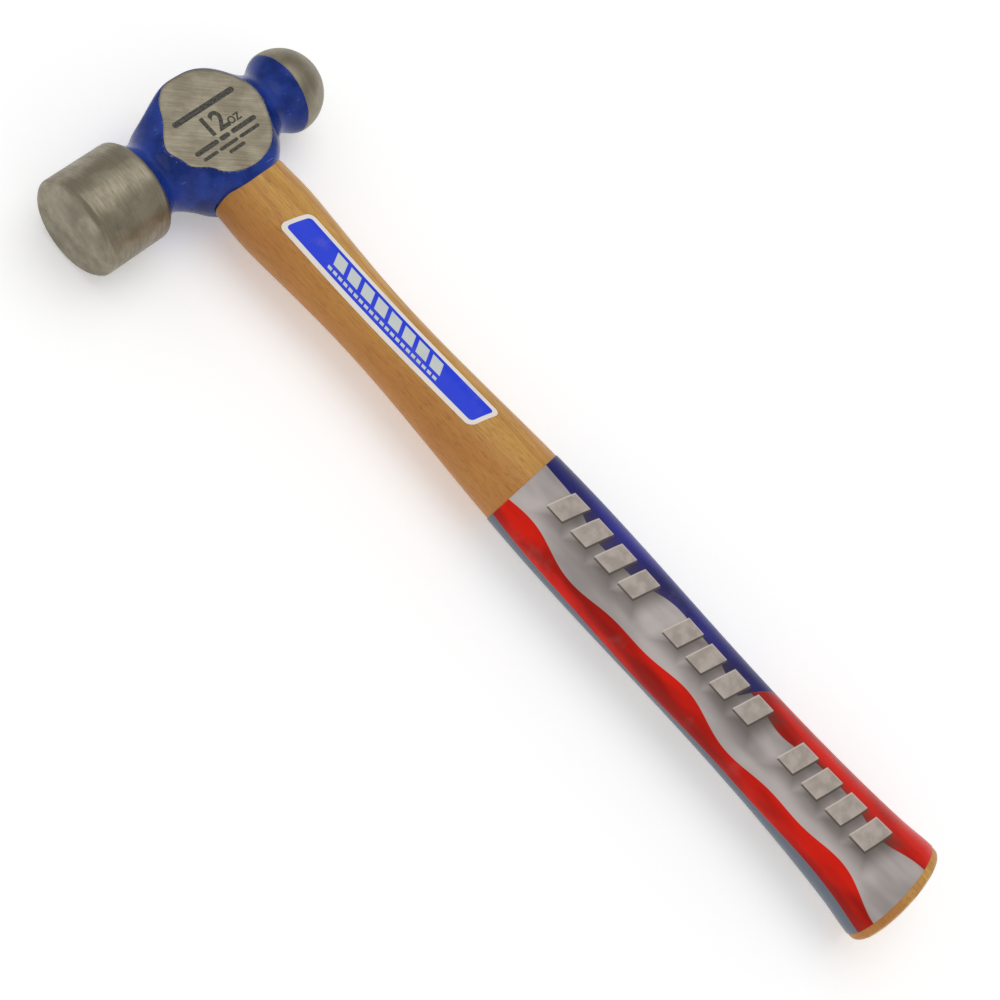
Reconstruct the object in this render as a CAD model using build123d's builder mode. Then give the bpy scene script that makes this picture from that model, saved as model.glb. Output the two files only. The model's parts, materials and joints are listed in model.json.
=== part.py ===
from build123d import *
import math
import os

# Ball peen hammer, lying on its side.
# Origin: centre of the striking face. +X: from the face to the ball.
# -Y: along the handle to the butt. +Z: square to the flat cheeks.
# All sizes are in millimetres.

# Striking face and poll
face_to_eye = 49.3
poll_radius = 14.5
poll_length = 21.7
face_chamfer = 1.5
bevel_length = 4.6
neck_radius = 10.3

# Ball, the cone behind it and its neck
eye_to_ball = 29.3
ball_radius = 12.3
ball_land = 2.6
ball_cone_length = 2.6
ball_neck_radius = 9.3

# Eye block: a barrel about Z, ground flat on both cheeks, cut square at top and bottom
boss_radius = 20.6
cheek_radius = 15.9
cheek_half_thickness = 11.6
head_top = 16.4
head_bottom = 17.0
crown_half_width = 5.8
crown_slope = 21.0
neck_blend = 3.0
ball_neck_blend = 2.0

# Eye: an oval hole along Y, narrowest at the waist. Half sizes along X and Z.
eye_bottom_half = (9.6, 7.0)
eye_waist_half = (8.8, 6.3)
eye_top_half = (10.0, 7.4)
eye_waist_above_bottom = 13.0
eye_clearance = 0.03

# Wedges driven into the top of the tenon, and the saw kerf below the wooden one
tenon_recess = 0.2
kerf_width = 1.0
kerf_depth = 27.0
wood_wedge_depth = 22.0
wood_wedge_top = 3.4
wood_wedge_tip = 1.0
steel_wedge_depth = 13.0
steel_wedge_top = 2.2
steel_wedge_tip = 0.5
steel_wedge_width = 10.0
steel_wedge_spread = 4.6

# Handle, measured from the middle of the eye. Half sizes along X and Z.
handle_length = 282.2
shoulder_half = (12.2, 9.9)
knuckle_half = (12.8, 9.9)
waist_half = (11.15, 8.6)
grip_start_half = (13.65, 10.4)
palm_half = (14.15, 10.75)
pinch_half = (13.85, 10.55)
flare_half = (15.3, 11.65)
butt_half = (18.1, 13.75)
knuckle_below_head = 10.2
waist_below_head = 43.5
grip_start_from_butt = 153.2
palm_from_butt = 111.0
pinch_from_butt = 61.0
flare_from_butt = 25.0
butt_round = 2.0

# Printed film shrunk over the grip
film_thickness = 0.25
film_end_gap = 3.2

# Label stuck on the upper side of the shaft, with slanted ends
label_thickness = 0.15
label_length = 75.2
label_half_width = 5.0
label_below_head = 16.8
label_slant = 3.1
label_shift = -0.6
label_tilt = 1.1
label_corner_radius = 2.0

os.makedirs("parts", exist_ok=True)

eye_x = face_to_eye
ball_x = eye_x + eye_to_ball
neck_start = poll_length + bevel_length
ball_cone_start = ball_x - ball_land - ball_cone_length
ball_land_radius = (ball_radius**2 - ball_land**2) ** 0.5
eye_waist_y = eye_waist_above_bottom - head_bottom
crown_side = head_top - (boss_radius - crown_half_width) * math.tan(math.radians(crown_slope))
tenon_top = head_top - tenon_recess


def side_view(recess=0.0):
    """The eye block seen square to its cheek, with its sloped crown lowered by the recess."""
    with BuildSketch(Plane.XY) as outline:
        with BuildLine():
            Polyline(
                (eye_x - boss_radius, -head_bottom),
                (eye_x + boss_radius, -head_bottom),
                (eye_x + boss_radius, crown_side - recess),
                (eye_x + crown_half_width, head_top - recess),
                (eye_x - crown_half_width, head_top - recess),
                (eye_x - boss_radius, crown_side - recess),
                close=True,
            )
        make_face()
    return outline.sketch


def oval_at(y, half_sizes, growth=0.0):
    """An oval across the handle at height y, with both half sizes grown by the same amount."""
    section = Plane(origin=(eye_x, y, 0), x_dir=(1, 0, 0), z_dir=(0, -1, 0))
    with BuildSketch(section) as oval:
        Ellipse(half_sizes[0] + growth, half_sizes[1] + growth)
    return oval.sketch


def eye_shape(growth=0.0):
    """What fills the eye, from the bottom of the head to its top."""
    bottom_oval = oval_at(-head_bottom, eye_bottom_half, growth)
    waist_oval = oval_at(eye_waist_y, eye_waist_half, growth)
    top_oval = oval_at(head_top, eye_top_half, growth)
    with BuildPart() as plug:
        loft([bottom_oval, waist_oval], ruled=True)
        loft([waist_oval, top_oval], ruled=True)
    return plug.part


def handle_shape(growth=0.0):
    """The handle below the head, as one smooth run of ovals."""
    stations = [
        (-head_bottom, shoulder_half),
        (-head_bottom - knuckle_below_head, knuckle_half),
        (-head_bottom - waist_below_head, waist_half),
        (grip_start_from_butt - handle_length, grip_start_half),
        (palm_from_butt - handle_length, palm_half),
        (pinch_from_butt - handle_length, pinch_half),
        (flare_from_butt - handle_length, flare_half),
        (-handle_length, butt_half),
    ]
    with BuildPart() as body:
        loft([oval_at(y, half_sizes, growth) for y, half_sizes in stations])
    return body.part


def wedge_shape(section, top_width, tip_width, depth, length):
    """A wedge standing on its thin end, drawn in the plane given and as long as the length."""
    with BuildPart() as wedge:
        with BuildSketch(section):
            with BuildLine():
                Polyline(
                    (-top_width / 2, tenon_top),
                    (-tip_width / 2, tenon_top - depth),
                    (tip_width / 2, tenon_top - depth),
                    (top_width / 2, tenon_top),
                    close=True,
                )
            make_face()
        extrude(amount=length / 2, both=True)
    return wedge.part


eye_hole = eye_shape()

# Tenon: it fills the eye, and is sawn off just below the head's crown
with BuildPart() as tenon_block:
    add(eye_shape(-eye_clearance))
    add(side_view(tenon_recess))
    extrude(amount=cheek_half_thickness, both=True, mode=Mode.INTERSECT)
tenon = tenon_block.part

# The wooden wedge lies along X, and the two steel ones stand across it
across_z = Plane(origin=(eye_x, 0, 0), x_dir=(0, 0, -1), z_dir=(1, 0, 0))
wood_wedge_block = wedge_shape(across_z, wood_wedge_top, wood_wedge_tip, wood_wedge_depth, 2 * boss_radius)
steel_wedge_blocks = []
for side in (-1, 1):
    across_x = Plane(origin=(eye_x + side * steel_wedge_spread, 0, 0), x_dir=(1, 0, 0), z_dir=(0, 0, 1))
    block = wedge_shape(across_x, steel_wedge_top, steel_wedge_tip, steel_wedge_depth, steel_wedge_width)
    steel_wedge_blocks.append(block)

# Eye block of the head
with BuildPart() as eye_block:
    with BuildSketch(Plane(origin=(eye_x, 0, 0), x_dir=(0, 1, 0), z_dir=(1, 0, 0))):
        with BuildLine():
            Polyline(
                (cheek_radius, cheek_half_thickness),
                (0, cheek_half_thickness),
                (0, -cheek_half_thickness),
                (cheek_radius, -cheek_half_thickness),
            )
            ThreePointArc(
                (cheek_radius, -cheek_half_thickness),
                (boss_radius, 0),
                (cheek_radius, cheek_half_thickness),
            )
        make_face()
    revolve(axis=Axis((eye_x, 0, 0), (0, 0, 1)))
    add(side_view())
    extrude(amount=cheek_half_thickness, both=True, mode=Mode.INTERSECT)

# Head: poll, necks and ball turned about X, with the eye block across them
with BuildPart() as head:
    with BuildSketch(Plane.XY):
        with BuildLine():
            Polyline(
                (ball_x + ball_radius, 0),
                (0, 0),
                (0, poll_radius - face_chamfer),
                (face_chamfer, poll_radius),
                (poll_length, poll_radius),
                (neck_start, neck_radius),
                (eye_x, neck_radius),
                (eye_x, ball_neck_radius),
                (ball_cone_start, ball_neck_radius),
                (ball_x - ball_land, ball_land_radius),
            )
            ThreePointArc(
                (ball_x - ball_land, ball_land_radius),
                (ball_x + ball_radius * 0.5**0.5, ball_radius * 0.5**0.5),
                (ball_x + ball_radius, 0),
            )
        make_face()
    revolve(axis=Axis.X)
    add(eye_block.part)
    neck_edges = head.edges().filter_by(GeomType.BSPLINE)
    fillet(neck_edges.sort_by(lambda e: abs(e.center().X - neck_start))[0], neck_blend)
    neck_edges = head.edges().filter_by(GeomType.BSPLINE)
    fillet(neck_edges.sort_by(lambda e: abs(e.center().X - ball_cone_start))[0], ball_neck_blend)
    add(eye_hole, mode=Mode.SUBTRACT)
head.part.label = "head"
export_step(head.part, "parts/head.step")

# Wooden wedge, cut by the two steel ones
with BuildPart() as wood_wedge:
    add(wood_wedge_block)
    add(tenon, mode=Mode.INTERSECT)
    add(steel_wedge_blocks, mode=Mode.SUBTRACT)
wood_wedge.part.label = "wood_wedge"
export_step(wood_wedge.part, "parts/wood_wedge.step")

# Steel wedges
for number, block in enumerate(steel_wedge_blocks, start=1):
    with BuildPart() as steel_wedge:
        add(block)
    steel_wedge.part.label = f"steel_wedge_{number}"
    export_step(steel_wedge.part, f"parts/{steel_wedge.part.label}.step")

# Handle: shaft, butt and the tenon that fills the eye, with the slots that the wedges open
with BuildPart() as handle:
    add(handle_shape())
    fillet(handle.faces().sort_by(Axis.Y)[0].edges(), butt_round)
    add(tenon)
    with BuildSketch(Plane.XY.offset(-kerf_width / 2)):
        with Locations((eye_x, tenon_top - kerf_depth / 2)):
            Rectangle(2 * boss_radius, kerf_depth)
    extrude(amount=kerf_width, mode=Mode.SUBTRACT)
    add(wood_wedge_block, mode=Mode.SUBTRACT)
    add(steel_wedge_blocks, mode=Mode.SUBTRACT)
handle.part.label = "handle"
export_step(handle.part, "parts/handle.step")

# Grip film: a thin sleeve between two ovals of the handle
with BuildPart() as grip_film:
    add(handle_shape(film_thickness))
    add(handle_shape(), mode=Mode.SUBTRACT)
    with BuildSketch(Plane.XZ.offset(handle_length - grip_start_from_butt)):
        with Locations((eye_x, 0)):
            Rectangle(4 * butt_half[0], 4 * butt_half[0])
    extrude(amount=grip_start_from_butt - film_end_gap, mode=Mode.INTERSECT)
grip_film.part.label = "grip_film"
export_step(grip_film.part, "parts/grip_film.step")

# Label: a slanted patch of the shaft's upper surface
label_middle = -head_bottom - label_below_head - label_length / 2
label_plane = Plane(origin=(eye_x + label_shift, label_middle, 0), z_dir=(0, 0, 1))
with BuildPart() as label:
    with BuildSketch(label_plane.rotated((0, 0, label_tilt))) as label_outline:
        with BuildLine():
            Polyline(
                (-label_half_width, (label_length + label_slant) / 2),
                (label_half_width, (label_length - label_slant) / 2),
                (label_half_width, -(label_length + label_slant) / 2),
                (-label_half_width, -(label_length - label_slant) / 2),
                close=True,
            )
        make_face()
        fillet(label_outline.vertices(), label_corner_radius)
    extrude(amount=boss_radius)
    add(handle_shape(label_thickness), mode=Mode.INTERSECT)
    add(handle_shape(), mode=Mode.SUBTRACT)
label.part.label = "label"
export_step(label.part, "parts/label.step")
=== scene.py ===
"""Ball peen hammer: the visual model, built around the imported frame.

Metres, +X from the striking face to the ball, -Y along the handle to the butt, +Z square to the cheeks.
The shapes are worked out in millimetres and scaled once, where a mesh is made.
"""
import contextlib
import json
import math

import bmesh
import bpy
import numpy as np
from mathutils import Matrix, Vector
from mathutils.bvhtree import BVHTree


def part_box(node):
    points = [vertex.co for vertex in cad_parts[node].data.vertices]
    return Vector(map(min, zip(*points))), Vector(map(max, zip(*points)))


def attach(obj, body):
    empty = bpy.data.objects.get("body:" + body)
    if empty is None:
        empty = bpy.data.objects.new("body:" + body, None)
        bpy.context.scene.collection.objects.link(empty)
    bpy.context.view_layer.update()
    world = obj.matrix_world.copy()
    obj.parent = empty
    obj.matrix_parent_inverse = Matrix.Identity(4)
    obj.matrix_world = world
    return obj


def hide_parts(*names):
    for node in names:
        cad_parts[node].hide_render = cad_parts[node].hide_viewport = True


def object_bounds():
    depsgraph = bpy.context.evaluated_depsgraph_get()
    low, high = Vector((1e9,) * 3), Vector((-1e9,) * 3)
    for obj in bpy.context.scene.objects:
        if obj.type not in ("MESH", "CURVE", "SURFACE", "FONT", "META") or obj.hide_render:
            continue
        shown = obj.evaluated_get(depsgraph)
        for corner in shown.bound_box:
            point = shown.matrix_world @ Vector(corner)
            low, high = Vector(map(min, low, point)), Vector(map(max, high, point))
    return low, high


bl_info = {
    "name": "Ball Peen Hammer",
    "version": (1, 0, 0),
    "blender": (4, 5, 0),
    "location": "View3D > Sidebar > Hammer",
    "description": "Builds a ball peen hammer with a wooden handle around its packed frame",
    "category": "Object",
}

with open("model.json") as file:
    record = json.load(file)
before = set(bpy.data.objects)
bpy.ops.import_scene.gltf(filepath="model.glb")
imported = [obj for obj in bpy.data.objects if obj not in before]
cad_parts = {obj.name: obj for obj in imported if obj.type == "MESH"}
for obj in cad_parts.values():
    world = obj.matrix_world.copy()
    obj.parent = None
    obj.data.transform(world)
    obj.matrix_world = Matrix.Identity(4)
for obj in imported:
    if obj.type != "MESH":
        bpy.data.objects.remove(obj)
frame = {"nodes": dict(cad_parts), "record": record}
cad_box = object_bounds()

MM = 0.001
NOISE_SHIFT = (31.7, 57.3, 83.9)
MOUNTS = {mount["name"]: Vector(mount["pos_m"]) / MM for mount in frame["record"]["mounts"]}
EYE_X = MOUNTS["cheek_upper"].x
CHEEK = MOUNTS["cheek_upper"].z
HEAD_LOW, HEAD_HIGH = (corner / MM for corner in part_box("head"))
HANDLE_LOW, HANDLE_HIGH = (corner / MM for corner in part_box("handle"))
FILM_LOW, FILM_HIGH = (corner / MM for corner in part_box("grip_film"))
LABEL_LOW, LABEL_HIGH = (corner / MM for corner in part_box("label"))
CROWN_HALF_WIDTH = 5.8
CROWN_SLOPE = math.radians(21.0)


# ---------------------------------------------------------------- settings

def length(name, description, millimetres):
    """A size that a user may change, kept in metres and given here in millimetres."""
    return bpy.props.FloatProperty(
        name=name, description=description, default=millimetres * MM, unit="LENGTH", precision=5
    )


def half_sizes(name, description, half_width, half_thickness):
    """The two half sizes of an oval of the handle, kept in metres and given here in millimetres."""
    return bpy.props.FloatVectorProperty(
        name=name, description=description, size=2, default=(half_width * MM, half_thickness * MM),
        unit="LENGTH",
    )


def view_angle(name, description, degrees):
    """An angle that a user may change, given here in degrees."""
    return bpy.props.FloatProperty(
        name=name, description=description, default=math.radians(degrees), subtype="ANGLE"
    )


def colour(name, description, red, green, blue):
    """A colour that a user may change, given as it looks on screen."""
    return bpy.props.FloatVectorProperty(
        name=name, description=description, subtype="COLOR", size=3, min=0.0, max=1.0,
        default=tuple(linear(channel / 255) for channel in (red, green, blue)),
    )


def linear(channel):
    """A screen colour channel as light."""
    return channel / 12.92 if channel <= 0.04045 else ((channel + 0.055) / 1.055) ** 2.4


class HammerHeadSettings(bpy.types.PropertyGroup):
    """Sizes and finishes of the forged head."""

    poll_length: length("Poll Length", "From the striking face to the poll's rear corner", 21.7)
    face_chamfer: length("Face Chamfer", "Width of the chamfer round the striking face", 1.5)
    bevel_length: length("Bevel Length", "From the poll's rear corner to the neck", 4.6)
    neck_radius: length("Neck Radius", "Radius of the neck beside the poll", 10.3)
    ball_neck_radius: length("Ball Neck Radius", "Radius of the neck beside the ball", 9.3)
    ball_radius: length("Ball Radius", "Radius of the ball", 12.3)
    ball_land: length("Ball Land", "From the ball's centre back to its widest painted edge", 2.6)
    boss_radius: length("Boss Radius", "Radius of the eye block's barrel at its middle", 20.6)
    cheek_radius: length("Cheek Radius", "Radius of the flat cheek", 15.9)
    rim_round: length("Rim Rounding", "Softening of the ground edges", 0.45)
    forge_ripple: length("Forge Ripple", "Height of the ripple left by the forging dies", 0.05)
    paint: colour("Paint", "Enamel on the forged skin", 8, 44, 126)
    steel: colour("Steel", "Ground steel", 147, 140, 122)


class HammerHandleSettings(bpy.types.PropertyGroup):
    """Sizes and colours of the handle, the wedges, the label and the film."""

    shoulder_y: length("Shoulder", "Where the shaft stops under the head, from the eye's middle", -16.7)
    butt_round: length("Butt Rounding", "Radius of the butt's edge", 2.0)
    eye_bottom: half_sizes("Eye Bottom", "Half width and half thickness of the eye below", 9.6, 7.0)
    eye_waist: half_sizes("Eye Waist", "Half width and half thickness at the eye's waist", 8.8, 6.3)
    eye_top: half_sizes("Eye Top", "Half width and half thickness of the eye above", 10.0, 7.4)
    eye_waist_rise: length("Eye Waist Rise", "From the bottom of the head to the eye's waist", 13.0)
    sapwood: colour("Sapwood", "Pale wood between the rings", 216, 167, 84)
    heartwood: colour("Heartwood", "Darker, redder wood", 183, 118, 61)


class HammerPrintSettings(bpy.types.PropertyGroup):
    """Colours and sizes of the printed film and the label."""

    film_thickness: length("Film Thickness", "Thickness of the film shrunk over the grip", 0.25)
    label_thickness: length("Label Thickness", "Thickness of the label", 0.15)
    label_length: length("Label Length", "Length of the label's long sides", 75.2)
    label_width: length("Label Width", "Width of the label", 10.0)
    label_slant: length("Label Slant", "How far one end corner leads the other", 3.1)
    label_border: length("Label Border", "Width of the label's pale border", 1.3)
    navy: colour("Navy", "Dark blue band of the film", 36, 34, 116)
    red: colour("Red", "Red bands of the film", 206, 24, 4)
    pale: colour("Pale", "Pale band of the film", 186, 177, 174)
    slate: colour("Slate", "Grey-blue band of the film", 104, 112, 124)
    silver: colour("Silver", "Plain marks on the film", 178, 167, 158)
    label_blue: colour("Label Blue", "Field of the label", 28, 60, 224)
    label_pale: colour("Label Pale", "Border of the label", 240, 233, 224)
    label_bars: colour("Label Bars", "Plain bars on the label", 206, 213, 212)


class HammerStageSettings(bpy.types.PropertyGroup):
    """The floor, the lights and the camera."""

    view_azimuth: view_angle("View Azimuth", "Side that the camera stands on", -89.9)
    view_elevation: view_angle("View Elevation", "Camera's height above the horizon", 59.25)
    view_roll: view_angle("View Roll", "Turn of the camera about its own line of sight", 47.5)
    view_distance: length("View Distance", "From the camera to what it looks at", 490.0)
    lens: bpy.props.FloatProperty(
        name="Lens", description="Focal length on a 36 mm sensor", default=64.5, min=1.0
    )
    floor_colour: colour("Floor", "Plain pale floor", 250, 250, 250)


# ---------------------------------------------------------------- numbers and shapes

def blend_union(first, second, width):
    """The smaller of two distances, with a fillet about as wide as given."""
    share = np.clip(0.5 + 0.5 * (second - first) / width, 0.0, 1.0)
    return second * (1 - share) + first * share - width * share * (1 - share)


def blend_cut(first, second, width):
    """The larger of two distances, with a rounded edge."""
    return -blend_union(-first, -second, width)


def ease(value, low, high):
    """0 below low, 1 above high and a smooth run between."""
    share = np.clip((value - low) / (high - low), 0.0, 1.0)
    return share * share * (3 - 2 * share)


def bump_at(angle, middle, width):
    """A soft bump on a circle, in degrees."""
    away = (angle - middle + 180.0) % 360.0 - 180.0
    return np.exp(-((away / width) ** 2))


def ripple(x, y, z, wavelength, seed):
    """Gentle unevenness from a few fixed waves, between about -1 and 1."""
    random = np.random.default_rng(seed)
    total = np.zeros_like(x)
    waves = 7
    for _ in range(waves):
        direction = random.normal(size=3)
        direction /= np.linalg.norm(direction)
        pitch = wavelength * random.uniform(0.7, 1.6)
        phase = random.uniform(0, 2 * math.pi)
        travel = direction[0] * x + direction[1] * y + direction[2] * z
        total += np.sin(2 * math.pi * travel / pitch + phase)
    return total / waves


def even_steps(start, end, spacing):
    """Values from start to end, the end left out, about as far apart as asked."""
    count = max(1, round(abs(end - start) / spacing))
    return [start + (end - start) * i / count for i in range(count)]


def add_object(name, data):
    """An object in the scene with its mesh, text, lamp or camera."""
    made = bpy.data.objects.new(name, data)
    bpy.context.scene.collection.objects.link(made)
    return made


def make_object(name, points, faces):
    """A mesh object from points in millimetres."""
    mesh = bpy.data.meshes.new(name)
    mesh.from_pydata([tuple(point) for point in np.asarray(points) * MM], [], faces)
    return add_object(name, mesh)


@contextlib.contextmanager
def editing(mesh):
    """Opens a mesh for editing, and writes it back at the end."""
    work = bmesh.new()
    work.from_mesh(mesh)
    yield work
    work.to_mesh(mesh)
    work.free()


def ring_faces(ring_count, segments, first=0):
    """Quads between rings of points that follow one another."""
    faces = []
    for ring in range(ring_count - 1):
        low = first + ring * segments
        for i in range(segments):
            j = (i + 1) % segments
            faces.append((low + i, low + j, low + segments + j, low + segments + i))
    return faces


def capped_rings(name, rings, start_pole, end_pole):
    """A closed surface through rings of points, with a pole at each end."""
    segments = len(rings[0])
    points = [point for ring in rings for point in ring]
    faces = ring_faces(len(rings), segments)
    start, end = len(points), len(points) + 1
    points += [start_pole, end_pole]
    last = (len(rings) - 1) * segments
    for i in range(segments):
        j = (i + 1) % segments
        faces.append((start, j, i))
        faces.append((end, last + i, last + j))
    made = make_object(name, points, faces)
    turn_outwards(made)
    return made


def turn_outwards(made):
    """Turns every face of a closed mesh outwards."""
    with editing(made.data) as work:
        bmesh.ops.recalc_face_normals(work, faces=work.faces)


def weld(made, closeness=0.002):
    """Joins points that lie closer than a distance in millimetres, and drops slivers."""
    with editing(made.data) as work:
        bmesh.ops.remove_doubles(work, verts=work.verts, dist=closeness * MM)
        bmesh.ops.dissolve_degenerate(work, edges=work.edges, dist=closeness * MM)


def split_long_faces(made):
    """Turns each face with more than four corners into well shaped triangles."""
    with editing(made.data) as work:
        many_sided = [face for face in work.faces if len(face.verts) > 4]
        bmesh.ops.triangulate(work, faces=many_sided, ngon_method="BEAUTY")


def shade(made, sharp_angle):
    """Smooth shading, with creases where faces meet at more than the angle in degrees."""
    for face in made.data.polygons:
        face.use_smooth = True
    made.data.set_sharp_from_angle(angle=math.radians(sharp_angle))


def cut_out(made, cutter):
    """Takes the cutter's shape out of an object and removes the cutter."""
    modifier = made.modifiers.new("cut", "BOOLEAN")
    modifier.operation = "DIFFERENCE"
    modifier.solver = "EXACT"
    modifier.object = cutter
    graph = bpy.context.evaluated_depsgraph_get()
    result = bpy.data.meshes.new_from_object(made.evaluated_get(graph))
    made.modifiers.clear()
    made.data = result
    bpy.data.objects.remove(cutter)
    weld(made)
    split_long_faces(made)
    weld(made)


def ellipse_ring(y, half_x, half_z, segments):
    """Points round an oval of the handle. The first is underneath, out of sight."""
    turn = np.linspace(0, 2 * math.pi, segments, endpoint=False)
    return np.stack(
        [EYE_X - half_x * np.sin(turn), np.full(segments, y), -half_z * np.cos(turn)], axis=1
    )


class HandleShape:
    """Half width and half thickness of the shaft along Y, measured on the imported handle."""

    def __init__(self):
        mesh = frame["nodes"]["handle"].data
        tree = BVHTree.FromPolygons(
            [vertex.co / MM for vertex in mesh.vertices], [face.vertices for face in mesh.polygons]
        )
        edge_clearance = 2.2
        station_count = 25
        self.high = HEAD_LOW.y - 0.1
        self.low = HANDLE_LOW.y + edge_clearance
        self.stations = np.linspace(self.low, self.high, station_count)
        sizes = []
        for y in self.stations:
            middle = Vector((EYE_X, y, 0))
            reach = [
                (tree.ray_cast(middle, Vector(way))[0] - middle).length
                for way in ((1, 0, 0), (-1, 0, 0), (0, 0, 1), (0, 0, -1))
            ]
            sizes.append(((reach[0] + reach[1]) / 2, (reach[2] + reach[3]) / 2))
        self.sizes = np.array(sizes)

    def at(self, y):
        """Half width and half thickness at one height or at several, through the stations."""
        step = self.stations[1] - self.stations[0]
        place = (np.asarray(y, float) - self.low) / step
        index = np.clip(np.floor(place).astype(int), 0, len(self.stations) - 2)
        share = (place - index)[..., None]
        before = self.sizes[np.maximum(index - 1, 0)]
        start, end = self.sizes[index], self.sizes[index + 1]
        after = self.sizes[np.minimum(index + 2, len(self.stations) - 1)]
        start_slope, end_slope = (end - before) / 2, (after - start) / 2
        cube, square = share**3, share**2
        return (
            (2 * cube - 3 * square + 1) * start
            + (cube - 2 * square + share) * start_slope
            + (3 * square - 2 * cube) * end
            + (cube - square) * end_slope
        )


HANDLE_SHAPE = HandleShape()


def eye_half_sizes(settings, y):
    """Half width and half thickness of the eye at a height, before any clearance."""
    waist_y = HEAD_LOW.y + settings.eye_waist_rise / MM
    heights = (HEAD_LOW.y, waist_y, HEAD_HIGH.y)
    sizes = [settings.eye_bottom, settings.eye_waist, settings.eye_top]
    return tuple(float(np.interp(y, heights, [size[axis] / MM for size in sizes])) for axis in (0, 1))


# ---------------------------------------------------------------- shader helpers

class Varying:
    """A number, vector or colour that changes over a surface. Plain arithmetic on it adds nodes."""

    def __init__(self, socket):
        self.socket = socket
        self.tree = socket.id_data

    def __add__(self, other):
        return reckon("ADD", self, other)

    def __sub__(self, other):
        return reckon("SUBTRACT", self, other)

    def __rsub__(self, other):
        return reckon("SUBTRACT", other, self)

    def __mul__(self, other):
        return reckon("MULTIPLY", self, other)

    def __truediv__(self, other):
        return reckon("DIVIDE", self, other)

    def __abs__(self):
        return reckon("ABSOLUTE", self)


def feed(socket, value):
    """Links a socket to a varying value, or sets a plain one."""
    if isinstance(value, Varying):
        value.tree.links.new(value.socket, socket)
    elif socket.type == "RGBA":
        socket.default_value = (*value, 1.0)
    else:
        socket.default_value = value


def put(tree, kind, inputs, output=0, **settings):
    """Adds a node with its settings and inputs, and gives back one of its outputs."""
    made = tree.nodes.new(kind)
    for key, value in settings.items():
        setattr(made, key, value)
    for key, value in inputs.items():
        feed(made.inputs[key], value)
    return Varying(made.outputs[output])


def reckon(operation, first, second=0.0):
    """The result of a Math node, or of a Vector Math node where a vector or colour goes in."""
    varying = first if isinstance(first, Varying) else second
    if varying.socket.type == "VALUE":
        return put(varying.tree, "ShaderNodeMath", {0: first, 1: second}, operation=operation)
    return put(varying.tree, "ShaderNodeVectorMath", {0: first, 1: second}, operation=operation)


def larger(first, second):
    """The larger of two numbers."""
    return reckon("MAXIMUM", first, second)


def smaller(first, second):
    """The smaller of two numbers."""
    return reckon("MINIMUM", first, second)


def between(value, low, high, start=0.0, end=1.0):
    """Runs smoothly from start to end while value goes from low to high."""
    inputs = {"Value": value, "From Min": low, "From Max": high, "To Min": start, "To Max": end}
    return put(value.tree, "ShaderNodeMapRange", inputs, interpolation_type="SMOOTHSTEP")


def beyond(value, edge, softness):
    """1 where value is past the edge."""
    return between(value - edge, -softness, softness)


def mixed(share, first, second):
    """A number that goes from first to second as share goes from 0 to 1."""
    return share * (second - first) + first


def blend(share, first, second):
    """A colour that goes from first to second as share goes from 0 to 1."""
    return put(share.tree, "ShaderNodeMix", {0: share, 6: first, 7: second}, 2, data_type="RGBA")


def shaded(tone, factor):
    """A plain colour made darker or lighter."""
    return tuple(min(1.0, channel * factor) for channel in tone)


def noise(place, scale, detail=3.0, roughness=0.5):
    """Noise from 0 to 1, with the scale in features per millimetre."""
    inputs = {"Vector": place, "Scale": scale, "Detail": detail, "Roughness": roughness}
    return put(place.tree, "ShaderNodeTexNoise", inputs)


def split(vector):
    """The three coordinates of a vector."""
    parts = put(vector.tree, "ShaderNodeSeparateXYZ", {0: vector})
    return [Varying(socket) for socket in parts.socket.node.outputs]


def mapped(tree, name):
    """The two coordinates of a UV map, by the map's name."""
    return split(put(tree, "ShaderNodeUVMap", {}, uv_map=name))[:2]


def new_material(name):
    """An empty material, and the point of its surface in millimetres."""
    material = bpy.data.materials.new(name)
    material.use_nodes = True
    place = put(material.node_tree, "ShaderNodeTexCoord", {}, "Object")
    return material, place * (1 / MM, 1 / MM, 1 / MM)


def dress(material, values, height=None, depth=1.0):
    """Sets a material's shader by its sockets' names, with a height in millimetres times depth."""
    inputs = material.node_tree.nodes["Principled BSDF"].inputs
    for name, value in values.items():
        feed(inputs[name], value)
    if height is not None:
        bump = {"Height": height, "Distance": depth * MM, "Strength": 1.0}
        feed(inputs["Normal"], put(material.node_tree, "ShaderNodeBump", bump))
    return material


def shader_group(name, inputs, outputs, build):
    """A node group with named sockets, made once. build turns its inputs into its outputs."""
    if name in bpy.data.node_groups:
        return bpy.data.node_groups[name]
    tree = bpy.data.node_groups.new(name, "ShaderNodeTree")
    for label, default in inputs.items():
        kind = "NodeSocketFloat" if isinstance(default, float) else "NodeSocketVector"
        tree.interface.new_socket(label, in_out="INPUT", socket_type=kind).default_value = default
    for label in outputs:
        tree.interface.new_socket(label, in_out="OUTPUT", socket_type="NodeSocketFloat")
    start = tree.nodes.new("NodeGroupInput")
    end = tree.nodes.new("NodeGroupOutput")
    given = [Varying(start.outputs[label]) for label in inputs]
    for socket, value in zip(end.inputs, build(*given)):
        feed(socket, value)
    return tree


def use_group(group, place, values):
    """Places a group in a material with its own values, and gives back all its outputs."""
    made = place.tree.nodes.new("ShaderNodeGroup")
    made.node_tree = group
    for key, value in {"Place": place, **values}.items():
        feed(made.inputs[key], value)
    return [Varying(socket) for socket in made.outputs]


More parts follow.
